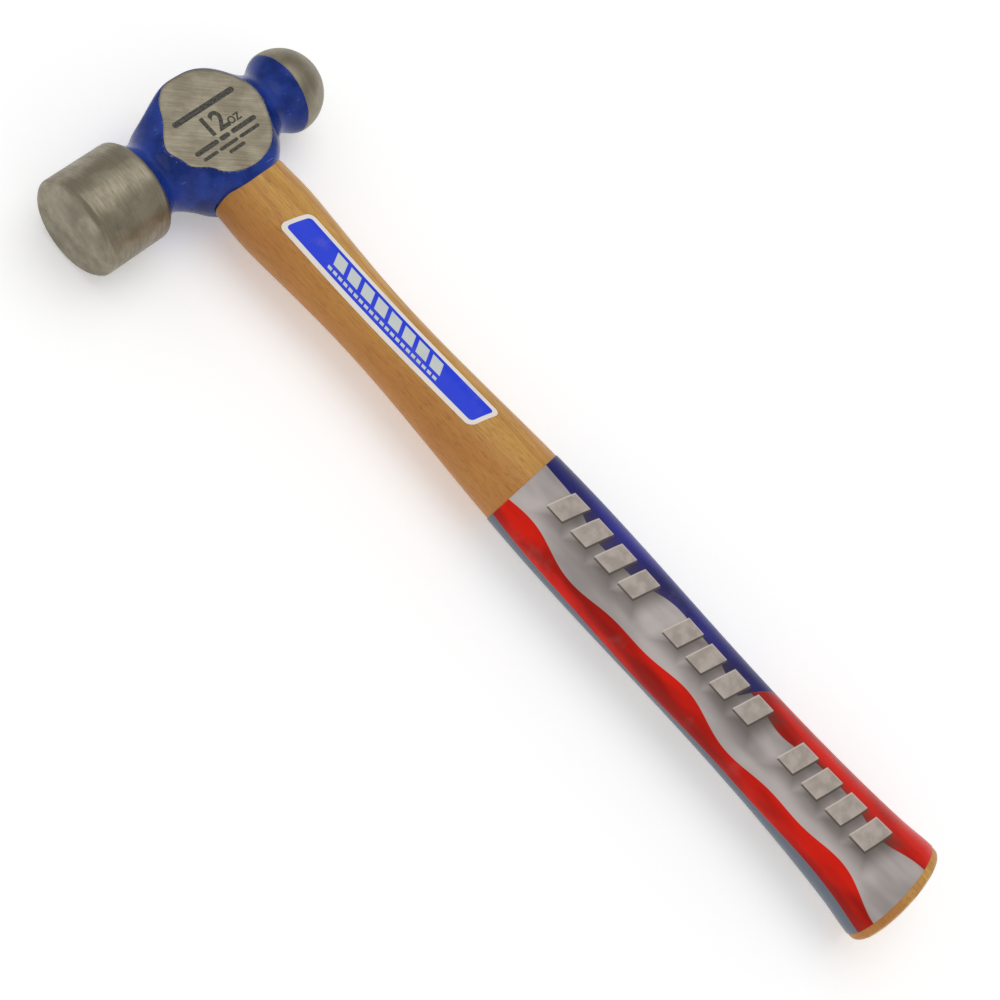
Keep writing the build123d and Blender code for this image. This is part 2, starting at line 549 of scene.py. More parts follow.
def grind_group():
    """Marks of a grinding belt: fine streaks along one direction, and a few deep ones."""

    def build(place, stretch, fineness):
        # Fractal noise makes a fan about its own origin, so the pattern is taken away from it
        moved = place + NOISE_SHIFT
        run = moved * stretch
        streaks = noise(run, fineness, detail=5.0, roughness=0.65)
        scores = between(noise(run, fineness * 0.37, detail=2.0), 0.62, 0.70)
        return streaks, scores, noise(moved, 0.16, roughness=0.55)

    inputs = {"Place": (0.0, 0.0, 0.0), "Stretch": (1.0, 1.0, 1.0), "Fineness": 1.0}
    return shader_group("belt_grind", inputs, ("Streaks", "Scores", "Cloud"), build)


def grain_group():
    """Wood with its grain along Y: growth rings, long fibres and short dark pores."""

    def build(place, pith, ring_width):
        slow = {"Vector": place * (0.06, 0.012, 0.06), "Scale": 1.0, "Detail": 2.0}
        sway = put(place.tree, "ShaderNodeTexNoise", slow, 1)
        swing = (sway - (0.5, 0.5, 0.5)) * (11.0, 0.0, 11.0)
        flat = (place - pith + swing) * (1.0, 0.0, 1.0)
        radius = put(place.tree, "ShaderNodeVectorMath", {0: flat}, "Value", operation="LENGTH")
        phase = reckon("FRACT", radius / ring_width)
        rings = between(phase, 0.35, 0.93) * between(phase, 0.93, 1.0, 1.0, 0.0)
        fibres = noise(place * (3.2, 0.07, 3.2), 1.0, detail=5.0, roughness=0.62)
        specks = noise(place * (4.5, 0.28, 4.5), 1.0, detail=1.0, roughness=0.4)
        cloud = noise(place * (0.10, 0.02, 0.10), 1.0)
        return rings, fibres, between(specks, 0.635, 0.70), cloud

    inputs = {"Place": (0.0, 0.0, 0.0), "Pith": (0.0, 0.0, 0.0), "Ring Width": 3.0}
    return shader_group("long_grain", inputs, ("Rings", "Fibres", "Pores", "Cloud"), build)


def handling_group():
    """Light marks of use on a smooth surface: a cloudy sheen, hair scratches and dimples."""

    def build(place, size):
        cloud = noise(place, size * 0.09, detail=4.0, roughness=0.6)
        turn = {"Vector": place, "Rotation": (0.4, 0.2, 0.7), "Scale": (0.35, 6.0, 2.0)}
        slanted = put(place.tree, "ShaderNodeMapping", turn)
        lines = noise(slanted, size * 0.5, detail=1.0)
        scratches = between(lines, 0.70, 0.74) * between(cloud, 0.5, 0.6)
        return cloud, scratches, noise(place, size * 1.1, detail=2.0)

    inputs = {"Place": (0.0, 0.0, 0.0), "Size": 1.0}
    return shader_group("handling", inputs, ("Cloud", "Scratches", "Peel"), build)


# ---------------------------------------------------------------- materials

def head_material(settings):
    """Blue enamel on the forged skin, and bright ground steel on the face, poll, cheeks and ball."""
    material, place = new_material("enamel_and_ground_steel")
    x, _, z = split(place)
    spot = place + NOISE_SHIFT
    waver = noise(spot, 0.22) - 0.5
    frill = noise(spot, 2.4, detail=2.0) - 0.5
    crisp = 0.06
    poll_edge = settings.poll_length / MM + 0.8
    ball_edge = HEAD_HIGH.x - settings.ball_radius / MM - 1.35
    on_poll = 1.0 - beyond(x + frill * 0.22 + waver * 1.6, poll_edge, crisp)
    on_ball = beyond(x + waver * 0.5, ball_edge, crisp)
    on_block = between(abs(x - EYE_X), 19.0, 19.2, 1.0, 0.0)
    depth = abs(z) + frill * 0.02
    on_cheek = between(depth, CHEEK - 0.16, CHEEK - 0.10) * on_block
    bare = larger(larger(on_poll, on_ball), on_cheek)

    # Belt marks run round the poll and the ball, and across the cheeks
    turn = {"Vector": place - (EYE_X, 0.0, 0.0), "Rotation": (0.0, 0.0, math.radians(38))}
    slanted = put(place.tree, "ShaderNodeMapping", turn)
    turned = use_group(grind_group(), place, {"Stretch": (2.6, 0.22, 0.22)})
    crossed = use_group(grind_group(), slanted, {"Stretch": (0.10, 3.4, 1.0)})
    streaks = mixed(on_cheek, turned[0], crossed[0])
    scores = mixed(on_cheek, turned[1], crossed[1])
    steel = tuple(settings.steel)
    dull = tuple(channel * share for channel, share in zip(steel, (0.85, 0.83, 0.80)))
    steel_tone = blend(between(turned[2], 0.36, 0.66), dull, shaded(steel, 1.12))
    soot, bright_scratch, oil = (0.08, 0.07, 0.055), (0.62, 0.60, 0.55), (0.13, 0.095, 0.065)
    steel_tone = blend(between(streaks, 0.30, 0.72, 0.22, 0.0), steel_tone, soot)
    steel_tone = blend(scores * 0.07, steel_tone, bright_scratch)
    oily = between(noise(spot, 0.055, detail=4.0, roughness=0.6), 0.58, 0.76, 0.0, 0.34)
    steel_tone = blend(oily, steel_tone, oil)

    # Enamel, thin over the ripples, with a few chips and a rubbed edge round the cheeks
    cloud, scratches, peel = use_group(handling_group(), place, {"Size": 1.0})
    paint = tuple(settings.paint)
    thin_paint = tuple(channel * 1.35 + 0.012 for channel in paint)
    scuff = (0.30, 0.36, 0.60)
    paint_tone = blend(between(cloud, 0.34, 0.68), shaded(paint, 0.62), thin_paint)
    paint_tone = blend(scratches * 0.30, paint_tone, scuff)
    chips = between(noise(spot, 0.75, roughness=0.7), 0.735, 0.745) * (1.0 - bare)
    lip = between(depth, CHEEK - 0.42, CHEEK - 0.16) * on_block * (1.0 - on_cheek)
    rubbed = lip * between(noise(spot, 0.9, detail=4.0), 0.50, 0.60)
    showing = larger(larger(bare, chips), rubbed * 0.45)
    covered = 1.0 - showing

    steel_rough = between(streaks, 0.3, 0.7, 0.50, 0.34)
    paint_rough = between(cloud, 0.3, 0.7, 0.20, 0.34)
    paint_thickness = 0.09
    height = covered * paint_thickness + mixed(showing, peel * 0.022, (streaks - scores) * 0.010)
    values = {
        "Base Color": blend(showing, paint_tone, steel_tone),
        "Metallic": showing,
        "Roughness": mixed(showing, paint_rough, steel_rough),
        "Coat Weight": covered * 0.12,
        "Coat Roughness": 0.10,
        "Specular IOR Level": 0.13,
    }
    return dress(material, values, height)


def wood_material(name, sapwood, heartwood, pith, ring_width, lacquer, heartwood_and_shade_side=None):
    """Wood with its grain along Y. Where a side is given, that side is darker and redder: heartwood colour,
    with painted shade on the side away from the key light.
    """
    material, place = new_material(name)
    marks = use_group(grain_group(), place, {"Pith": pith, "Ring Width": ring_width})
    rings, fibres, pores, cloud = marks
    dark = shaded(heartwood, 0.72)
    tone = blend(between(cloud, 0.35, 0.65, 0.0, 0.32), sapwood, heartwood)
    tone = blend(rings * 0.42, tone, heartwood)
    if heartwood_and_shade_side is not None:
        # Heartwood colour and painted shade: the -X side, away from the key light, is blended towards the
        # darker, redder heartwood
        swayed = split(place)[0] + (cloud - 0.5) * 14.0
        tone = blend(between(swayed, *heartwood_and_shade_side, 0.72, 0.0), tone, heartwood)
    tone = blend(between(fibres, 0.36, 0.70, 0.42, 0.0), tone, dark)
    tone = blend(pores * 0.36, tone, shaded(heartwood, 0.42))
    # Cut ends drink more finish and show the rings
    facing = put(place.tree, "ShaderNodeNewGeometry", {}, "Normal")
    cut_end = between(abs(split(facing)[1]), 0.45, 0.75)
    speckle = noise(place, 2.2)
    end_tone = blend(rings, tuple(0.8 * channel + 0.12 for channel in sapwood), heartwood)
    end_tone = blend(between(speckle, 0.55, 0.66, 0.0, 0.5), end_tone, dark)
    values = {
        "Base Color": blend(cut_end, tone, end_tone),
        "Roughness": between(fibres, 0.3, 0.7, 0.52, 0.38),
        "Coat Weight": (1.0 - cut_end) * lacquer,
        "Coat Roughness": 0.28,
        "Specular IOR Level": 0.2,
    }
    return dress(material, values, fibres * 0.03 - pores * 0.05)


def wedge_steel_material(settings):
    """Rough-cut steel of the two wedges, with dark scale and belt marks."""
    material, place = new_material("wedge_steel")
    streaks = use_group(grind_group(), place, {"Stretch": (0.3, 2.8, 0.5), "Fineness": 1.2})[0]
    steel = tuple(settings.steel)
    rusty = between(noise(place, 0.8, detail=4.0), 0.56, 0.70, 0.0, 0.6)
    rust = (0.20, 0.09, 0.045)
    tone = blend(between(streaks, 0.3, 0.7), shaded(steel, 0.45), steel)
    values = {
        "Base Color": blend(rusty, tone, rust),
        "Metallic": 1.0 - rusty,
        "Roughness": between(streaks, 0.3, 0.7, 0.62, 0.42),
    }
    return dress(material, values, streaks, 0.05)


def stamp_material():
    """Dark etched mark on the cheek."""
    material, place = new_material("etched_mark")
    patch = noise(place, 1.8, detail=4.0)
    values = {
        "Base Color": blend(between(patch, 0.35, 0.7), (0.030, 0.027, 0.020), (0.085, 0.078, 0.060)),
        "Roughness": between(patch, 0.3, 0.7, 0.75, 0.5),
    }
    return dress(material, values, patch, 0.02)


def wave_edge(along, base, waves):
    """A wavy boundary: degrees round the grip, against millimetres along it."""
    edge = base
    for swing, pitch, shift in waves:
        edge = reckon("SINE", along * (2 * math.pi / pitch) + shift) * swing + edge
    return edge


def film_material(settings):
    """Printed film: wavy bands round the grip and a row of plain silver bars with soft shadows."""
    material, place = new_material("grip_print")
    # u runs round the grip from underneath, and v along it from the head's end
    u, v = mapped(place.tree, "wrap")
    degrees = u * -360.0 + 180.0
    along = v * (FILM_HIGH.y - FILM_LOW.y)
    folds = noise(place * (0.12, 0.035, 0.12), 1.0, detail=2.0)

    def creased(tone, low, high, dark, light):
        return blend(between(folds, low, high), shaded(tone, dark), shaded(tone, light))

    # Bands: each wave has its swing in degrees, its pitch in millimetres and its start in radians
    stripe_top = wave_edge(along, 51.0, ((6.0, 62.0, 4.5), (3.5, 31.0, 2.6)))
    stripe_bottom = wave_edge(along, 86.0, ((6.0, 150.0, 5.4), (1.5, 47.0, 0.0)))
    navy_edge = wave_edge(along, -7.0, ((11.0, 57.0, 4.55), (1.5, 19.0, 0.4)))
    red_edge = wave_edge(along, -9.5, ((5.2, 38.0, 4.4), (1.2, 19.0, 1.0)))
    soft, soft_end = 0.5, 0.12
    red_tone = creased(settings.red, 0.34, 0.66, 0.5, 1.15)
    below_stripe = beyond(degrees, stripe_bottom, soft)
    above_seam = between(degrees, -131.0, -130.0)
    past_navy = beyond(along, degrees * -0.14 + 81.5, soft_end)
    tone = creased(settings.pale, 0.3, 0.7, 0.66, 1.12)
    tone = blend(beyond(degrees, stripe_top, soft) * (1.0 - below_stripe), tone, red_tone)
    in_slate = below_stripe * between(degrees, 128.0, 129.0, 1.0, 0.0)
    tone = blend(in_slate, tone, tuple(settings.slate))
    in_navy = (1.0 - beyond(degrees, navy_edge, soft)) * above_seam * (1.0 - past_navy)
    tone = blend(in_navy, tone, creased(settings.navy, 0.36, 0.70, 0.62, 1.5))
    in_red = (1.0 - beyond(degrees, red_edge, soft)) * above_seam * past_navy
    tone = blend(in_red, tone, red_tone)

    # Plain bars, printed as if they stood off the film: soft shadow, side, lit edge and face.
    # Each layer has its shift, blur and growth in millimetres, its strength and its colour.
    millimetres_per_degree = 0.235
    across = (degrees + 1.0) * millimetres_per_degree
    sheen = between(noise(place, 0.28), 0.35, 0.65)
    face = blend(sheen, shaded(settings.silver, 0.84), shaded(settings.silver, 1.10))
    for shift, blur, growth, strength, layer in (
        (1.9, 3.4, 0.9, 0.74, (0.060, 0.046, 0.036)),
        (0.34, 0.14, 0.10, 0.85, (0.085, 0.065, 0.050)),
        (-0.12, 0.12, 0.0, 0.85, shaded(settings.silver, 1.55)),
        (0.06, 0.12, -0.14, 1.0, face),
    ):
        mask = bar_mask(along - shift, across - shift, blur, growth)
        tone = blend(mask * strength, tone, layer)

    cloud, scratches, peel = use_group(handling_group(), place, {"Size": 0.8})
    worn = (0.35, 0.32, 0.30)
    values = {
        "Base Color": blend(between(cloud, 0.55, 0.75, 0.0, 0.10), tone, worn),
        "Roughness": between(cloud, 0.3, 0.7, 0.26, 0.38),
        "Coat Weight": 0.06,
        "Coat Roughness": 0.12,
        "Specular IOR Level": 0.12,
    }
    return dress(material, values, peel - scratches * 0.4, 0.012)


def bar_mask(along, across, blur, growth):
    """Slanted plain bars in three groups of four, with gaps between the groups."""
    pitch, group_pitch, start, slant = 9.4, 46.0, 8.0, 0.32
    group_count, bars_in_group = 3, 4
    half_width, half_height = 3.0, 4.5
    half_gap = (group_pitch - bars_in_group * pitch) / 2
    slanted = across * slant + along - start
    in_group = slanted - nearest(slanted + half_gap, group_pitch, group_count) * group_pitch
    middle = nearest(in_group, pitch, bars_in_group) * pitch + pitch / 2
    wide = abs(in_group - middle) - (half_width + growth)
    tall = abs(across) - (half_height + growth)
    return 1.0 - between(larger(wide, tall), -blur, blur)


def nearest(value, pitch, count):
    """The number of the step that value falls in, held between the first and the last."""
    return larger(smaller(reckon("FLOOR", value / pitch), count - 1.0), 0.0)


def label_material(settings):
    """Printed label: pale border, blue field, a row of plain slanted bars and a thin broken line."""
    material, place = new_material("label_print")
    # Millimetres across the label, and along it from its middle
    across, along = mapped(place.tree, "flat")
    half_width = settings.label_width / MM / 2
    half_length = settings.label_length / MM / 2
    border = settings.label_border / MM
    level = across * (settings.label_slant / settings.label_width) + along
    crisp = 0.07
    inside = rounded_box(across, level, half_width - border, half_length - border, 1.1, crisp)
    tone = blend(inside, tuple(settings.label_pale), tuple(settings.label_blue))
    # Each row has its start, pitch, count, slant and middle, and half a bar's length and height
    for start, pitch, count, slant, middle, half_wide, half_tall in (
        (-20.6, 5.4, 8, -0.45, 0.85, 2.0, 1.85), (-20.0, 2.05, 21, -0.3, -2.40, 0.72, 0.42)
    ):
        from_start = across * slant + along - start
        wide = abs(reckon("MODULO", from_start, pitch) - pitch / 2) - half_wide
        tall = abs(across - middle) - half_tall
        started = reckon("GREATER_THAN", from_start, 0.0)
        ended = reckon("LESS_THAN", from_start, pitch * count)
        bars = (1.0 - between(larger(wide, tall), -crisp, crisp)) * started * ended
        tone = blend(bars, tone, tuple(settings.label_bars))
    cloud, _, peel = use_group(handling_group(), place, {"Size": 1.4})
    worn = (0.30, 0.30, 0.34)
    values = {
        "Base Color": blend(between(cloud, 0.5, 0.75, 0.0, 0.16), tone, worn),
        "Roughness": between(cloud, 0.3, 0.7, 0.28, 0.42),
        "Coat Weight": 0.08,
        "Coat Roughness": 0.15,
        "Specular IOR Level": 0.2,
    }
    return dress(material, values, peel + inside * 0.6, 0.010)


def rounded_box(across, along, half_width, half_length, corner, blur):
    """1 inside a box with round corners."""
    past_x = abs(across) - (half_width - corner)
    past_y = abs(along) - (half_length - corner)
    outer_x, outer_y = larger(past_x, 0.0), larger(past_y, 0.0)
    corner_reach = reckon("SQRT", outer_x * outer_x + outer_y * outer_y)
    inner = smaller(larger(past_x, past_y), 0.0)
    return 1.0 - beyond(corner_reach + inner, corner, blur)


def floor_material(settings):
    """Plain pale paper, lit a little from within so that it stays near white."""
    material = new_material("pale_floor")[0]
    values = {
        "Base Color": tuple(settings.floor_colour),
        "Roughness": 0.9,
        "Specular IOR Level": 0.1,
        "Emission Color": (1.0, 1.0, 1.0),
        "Emission Strength": 0.25,
    }
    return dress(material, values)


# ---------------------------------------------------------------- the head's surface

def head_distance(settings, x, y, z):
    """How far a point is outside the forged head, about, in millimetres. Below 0 is steel."""
    rim = settings.rim_round / MM
    around = np.hypot(y, z)
    from_eye = x - EYE_X
    poll_radius = HEAD_HIGH.z
    poll_length = settings.poll_length / MM
    neck = settings.neck_radius / MM
    ball_neck = settings.ball_neck_radius / MM
    ball = settings.ball_radius / MM
    land = settings.ball_land / MM
    ball_x = HEAD_HIGH.x - ball
    # How softly the forging's parts run into one another
    cone_round, crown_round = 1.6, 1.2
    neck_fillet, poll_fillet, ball_fillet = 5.0, 2.2, 2.4

    # Poll: a short cylinder, chamfered in front and bevelled behind
    bevel = settings.bevel_length / MM
    bevel_slope = math.atan2(poll_radius - neck, bevel)
    bevel_side = (x - poll_length) * math.sin(bevel_slope) + (around - poll_radius) * math.cos(bevel_slope)
    chamfer = settings.face_chamfer / MM
    chamfer_side = ((chamfer - x) + (around - poll_radius)) * math.sqrt(0.5)
    poll = blend_cut(blend_cut(around - poll_radius, bevel_side, rim), chamfer_side, rim)
    face_crown = 0.25
    poll = blend_cut(poll, -x + face_crown * (around / poll_radius) ** 2 * (around < poll_radius), rim)
    poll = np.maximum(poll, from_eye)

    # Ball, with the cone that leads down to its neck
    ball_reach = np.hypot(x - ball_x, around)
    land_radius = math.sqrt(ball**2 - land**2)
    cone_slope = math.atan2(land_radius - ball_neck, land)
    cone_side = (ball_x - land - x) * math.sin(cone_slope) + (around - land_radius) * math.cos(cone_slope)
    ball_end = blend_cut(ball_reach - ball, cone_side, cone_round)

    # Necks: one bar from inside the poll to inside the ball, which changes its radius in the eye block
    half_change, neck_start = 8.0, 10.0
    neck_side = around - (neck + (ball_neck - neck) * ease(from_eye, -half_change, half_change))
    neck_side = np.maximum(neck_side, np.maximum(x - ball_x, neck_start - x))

    # Eye block: a barrel about Z that isn't quite round, as the dies and the grinder left it
    angle = np.degrees(np.arctan2(y, from_eye))
    depth = np.abs(z)
    boss = settings.boss_radius / MM
    cheek = settings.cheek_radius / MM
    arc_middle = (boss**2 - cheek**2 - CHEEK**2) / (2 * (boss - cheek))
    arc_radius = boss - arc_middle
    flat_middle = 5.0
    near_cheek = ease(depth, flat_middle, CHEEK)
    # Each flat or swelling of the cheek's edge has its middle and width in degrees, and its rise
    swell = near_cheek * sum(
        rise * bump_at(angle, middle, width)
        for middle, width, rise in (
            (150, 17, -1.1), (180, 9, 0.5), (-157, 8, 0.9),
            (-138, 9, -0.7), (108, 14, 0.7), (45, 18, -0.35),
        )
    )
    # The lip over the handle, and the flank under the ball
    lip = bump_at(angle, -90, 32) * ease(depth, 4.0, 9.3) * (1 - ease(depth, 9.6, CHEEK))
    lip_rise, flank_drop = 1.5, 0.9
    swell = swell + lip_rise * lip - flank_drop * bump_at(angle, -14, 30)
    reach = np.hypot(from_eye, y) - swell
    barrel = np.hypot(reach - arc_middle, z) - arc_radius
    crown = (np.abs(from_eye) - CROWN_HALF_WIDTH) * math.sin(CROWN_SLOPE)
    crown = crown + (y - HEAD_HIGH.y) * math.cos(CROWN_SLOPE)
    block = blend_cut(barrel, blend_cut(y - HEAD_HIGH.y, crown, crown_round), 2 * rim)

    # The block's floor drops over the wood, where the lip follows the shoulder's oval
    wood_x, wood_z = HANDLE_SHAPE.at(HANDLE_SHAPE.high)
    wood_depth = wood_z * np.sqrt(np.clip(1 - (from_eye / wood_x) ** 2, 0.0, 1.0))
    over_wood = ease(depth, wood_depth - 2.6, wood_depth - 0.3) * np.exp(-((from_eye / 11.5) ** 4))
    floor_drop = 0.6 - 2.5 * over_wood + 1.4 * ease(-from_eye, 11.5, 15.5)
    block = blend_cut(block, HEAD_LOW.y + floor_drop - y, 2 * rim)

    middle = blend_union(block, neck_side, neck_fillet)
    ripple_pitch, ripple_seed = 9.0, 3
    skin = settings.forge_ripple / MM * ripple(x, y, z, ripple_pitch, ripple_seed)
    middle = blend_cut(middle + skin, depth - CHEEK, rim)
    solid = blend_union(middle, poll, poll_fillet)
    return blend_union(solid, ball_end, ball_fillet)


def head_stations(settings):
    """Where the rays start on the X axis, and which way they lean, from the face to the ball's tip."""
    poll_radius = HEAD_HIGH.z
    chamfer = settings.face_chamfer / MM
    ball = settings.ball_radius / MM
    ball_x = HEAD_HIGH.x - ball
    flat = poll_radius - chamfer
    start_x = poll_radius
    stations = []

    def lean_to(origin, x, radius):
        stations.append((origin, math.atan2(radius, x - origin)))

    # The stations stand closest together where the surface turns
    for radius in even_steps(1.0, flat - 0.5, 1.1) + even_steps(flat - 0.5, flat + 0.3, 0.13):
        lean_to(start_x, 0.0, radius)
    for step in even_steps(0.3, chamfer - 0.3, 0.3):
        lean_to(start_x, step, flat + step)
    for x in even_steps(chamfer - 0.3, chamfer + 0.6, 0.13) + even_steps(chamfer + 0.6, start_x, 0.9):
        lean_to(start_x, x, poll_radius)
    poll_end = settings.poll_length / MM
    block_start, block_end = EYE_X - 21.0, EYE_X + 21.0
    for low, high, spacing in (
        (start_x, poll_end - 0.7, 0.9),
        (poll_end - 0.7, poll_end + 0.9, 0.14),
        (poll_end + 0.9, block_start, 0.34),
        (block_start, block_end, 0.27),
        (block_end, ball_x, 0.36),
    ):
        for x in even_steps(low, high, spacing):
            stations.append((x, math.pi / 2))
    for lean in even_steps(90.0, 3.0, 3.0):
        stations.append((ball_x, math.radians(lean)))
    return stations


def head_surface(settings, segments):
    """Rings of points where rays from the head's axis leave the steel."""
    stations = head_stations(settings)
    origin = np.array([place for place, _ in stations])[:, None]
    lean = np.array([angle for _, angle in stations])[:, None]
    turn = np.linspace(0, 2 * math.pi, segments, endpoint=False)[None, :]
    way = (np.cos(lean) + 0 * turn, np.sin(lean) * np.cos(turn), np.sin(lean) * np.sin(turn))
    low = np.zeros((len(stations), segments))
    farthest = 34.0
    high = np.full((len(stations), segments), farthest)
    halvings = 24
    for _ in range(halvings):
        middle = (low + high) / 2
        point = (origin + way[0] * middle, way[1] * middle, way[2] * middle)
        outside = head_distance(settings, *point) > 0
        high = np.where(outside, middle, high)
        low = np.where(outside, low, middle)
    return np.stack([origin + way[0] * low, way[1] * low, way[2] * low], axis=2)


def eye_cutter(settings):
    """The oval hole through the head, flared a little at its upper mouth."""
    beyond_ends = 6.0
    segments = 96
    rings = []
    heights = [HEAD_LOW.y - beyond_ends, *even_steps(HEAD_LOW.y, HEAD_HIGH.y - 0.5, 2.0)]
    for y in heights:
        half_x, half_z = eye_half_sizes(settings, y)
        rings.append(ellipse_ring(y, half_x, half_z, segments))
    top_x, top_z = eye_half_sizes(settings, HEAD_HIGH.y)
    for rise, flare in ((-0.5, 0.0), (0.0, 0.35), (beyond_ends, 2.0)):
        rings.append(ellipse_ring(HEAD_HIGH.y + rise, top_x + flare, top_z + flare, segments))
    return capped_rings(
        "eye_cutter", rings, (EYE_X, HEAD_LOW.y - beyond_ends, 0), (EYE_X, HEAD_HIGH.y + beyond_ends, 0)
    )


def finish_piece(made, material, node=None, sharp_angle=35.0):
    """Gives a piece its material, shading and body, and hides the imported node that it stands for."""
    made.data.materials.clear()
    made.data.materials.append(material)
    shade(made, sharp_angle)
    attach(made, "root")
    if node is not None:
        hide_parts(node)


# ---------------------------------------------------------------- operators

class HAMMER_OT_head(bpy.types.Operator):
    """Build the forged head"""

    bl_idname = "hammer.head"
    bl_label = "Forged Head"

    def execute(self, context):
        settings = context.scene.hammer_head
        segments = 320
        face_middle, ball_tip = (0.0, 0.0, 0.0), (HEAD_HIGH.x, 0.0, 0.0)
        head = capped_rings("forged_head", head_surface(settings, segments), face_middle, ball_tip)
        cut_out(head, eye_cutter(context.scene.hammer_handle))
        finish_piece(head, head_material(settings), "head", sharp_angle=42.0)
        return {"FINISHED"}


class HAMMER_OT_weight_mark(bpy.types.Operator):
    """Build the plain weight mark on the upper cheek"""

    bl_idname = "hammer.weight_mark"
    bl_label = "Weight Mark"

    def execute(self, context):
        half = 0.03 / 2
        mesh = bpy.data.meshes.new("weight_mark")
        with editing(mesh) as work:
            # Each word has its size, the weight of its strokes and its place on the cheek
            for words, size, weight, x, y in (("12", 8.2, 0.24, -1.7, -3.2), ("OZ", 3.0, 0.10, 4.4, -3.3)):
                place = Vector((EYE_X + x, y, CHEEK + half))
                work.from_mesh(raised_word(words, size, weight, half, place))
            # Each row of plain rules has its place up the cheek, half height, start and lengths
            gap = 0.7
            for y, half_height, start, lengths in (
                (4.8, 0.85, -11.8, (22.6,)),
                (-5.1, 0.70, -12.6, (8.4, 3.6, 9.2)),
                (-7.5, 0.50, -11.7, (5.2, 6.8, 7.4)),
                (-9.5, 0.50, -4.0, (5.8,)),
            ):
                for bar_length in lengths:
                    middle = Vector((EYE_X + start + bar_length / 2, y, CHEEK + half))
                    add_bar(work, middle, bar_length / 2, half_height, half)
                    start += bar_length + gap
        mark = add_object("weight_mark", mesh)
        weld(mark)
        finish_piece(mark, stamp_material())
        return {"FINISHED"}


def raised_word(words, size, weight, half_thickness, place):
    """The mesh of a word, about the middle of its thickness, from sizes in millimetres."""
    curve = bpy.data.curves.new("mark_text", "FONT")
    curve.body = words
    curve.size = size * MM
    curve.align_x = "CENTER"
    curve.extrude = half_thickness * MM
    curve.offset = weight * MM
    text = add_object("mark_text", curve)
    text.location = place * MM
    bpy.context.view_layer.update()
    graph = bpy.context.evaluated_depsgraph_get()
    mesh = bpy.data.meshes.new_from_object(text.evaluated_get(graph))
    mesh.transform(text.matrix_world)
    bpy.data.objects.remove(text)
    return mesh


def add_bar(work, middle, half_length, half_height, half_thickness):
    """Adds a flat bar with round ends, from sizes in millimetres."""
    end_steps = 8
    middle, reach = middle * MM, (half_length - half_height) * MM
    radius, half_thickness = half_height * MM, half_thickness * MM
    outline = []
    for side in (1, -1):
        for i in range(end_steps + 1):
            turn = math.pi * (i / end_steps - 0.5)
            outline.append((side * (reach + radius * math.cos(turn)), side * radius * math.sin(turn)))
    bottom = [work.verts.new(middle + Vector((x, y, -half_thickness))) for x, y in outline]
    top = [work.verts.new(middle + Vector((x, y, half_thickness))) for x, y in outline]
    work.faces.new(reversed(bottom))
    work.faces.new(top)
    for i in range(len(outline)):
        j = (i + 1) % len(outline)
        work.faces.new((bottom[i], bottom[j], top[j], top[i]))


class HAMMER_OT_handle(bpy.types.Operator):
    """Build the wooden handle with the tenon that fills the eye"""

    bl_idname = "hammer.handle"
    bl_label = "Wooden Handle"

    def execute(self, context):
        settings = context.scene.hammer_handle
        segments = 128
        rings = []
        edge = settings.butt_round / MM
        flat_x, flat_z = HANDLE_SHAPE.at(HANDLE_LOW.y) - edge
        for share in (0.2, 0.45, 0.7, 0.88):
            rings.append(ellipse_ring(HANDLE_LOW.y, flat_x * share, flat_z * share, segments))
        edge_steps = 8
        for i in range(edge_steps):
            turn = math.pi / 2 * i / edge_steps
            y = HANDLE_LOW.y + edge * (1 - math.cos(turn))
            half_x, half_z = HANDLE_SHAPE.at(y)
            inset = edge * (1 - math.sin(turn))
            rings.append(ellipse_ring(y, half_x - inset, half_z - inset, segments))
        shoulder = settings.shoulder_y / MM
        shoulder_chamfer, ring_spacing, tenon_spacing = 0.5, 1.3, 2.0
        for y in even_steps(HANDLE_LOW.y + edge, shoulder - shoulder_chamfer, ring_spacing):
            rings.append(ellipse_ring(y, *HANDLE_SHAPE.at(y), segments))
        half_x, half_z = HANDLE_SHAPE.at(HANDLE_SHAPE.high)
        for inset in (0.0, shoulder_chamfer):
            y = shoulder - shoulder_chamfer + inset
            rings.append(ellipse_ring(y, half_x - inset, half_z - inset, segments))
        clearance = 0.03
        top = HANDLE_HIGH.y
        for y in [*even_steps(shoulder, top, tenon_spacing), top]:
            half_x, half_z = eye_half_sizes(settings, y)
            ring = ellipse_ring(y, half_x - clearance, half_z - clearance, segments)
            rings.append(sawn_to_crown(ring, shoulder, top))
        for share in (0.8, 0.5, 0.2):
            ring = ellipse_ring(top, half_x * share, half_z * share, segments)
            rings.append(sawn_to_crown(ring, shoulder, top))
        handle = capped_rings("hickory_handle", rings, (EYE_X, HANDLE_LOW.y, 0), (EYE_X, top, 0))
        for node in ("wood_wedge", "steel_wedge_1", "steel_wedge_2"):
            cut_out(handle, wedge_cutter(node))
        pith, ring_width, lacquer = (EYE_X + 21.0, 0.0, -34.0), 3.1, 0.15
        # The -X side of the handle gets heartwood colour with painted shade
        material = wood_material(
            "hickory", tuple(settings.sapwood), tuple(settings.heartwood),
            pith, ring_width, lacquer, heartwood_and_shade_side=(EYE_X - 13.0, EYE_X - 1.0),
        )
        finish_piece(handle, material, "handle", sharp_angle=30.0)
        return {"FINISHED"}


def sawn_to_crown(ring, shoulder, top):
    """Lowers points of the tenon in step, so that its end follows the head's sloped crown."""
    beyond_flat = np.maximum(0.0, np.abs(ring[:, 0] - EYE_X) - CROWN_HALF_WIDTH)
    drop = beyond_flat * math.tan(CROWN_SLOPE)
    ring[:, 1] -= drop * (ring[:, 1] - shoulder) / (top - shoulder)
    return ring


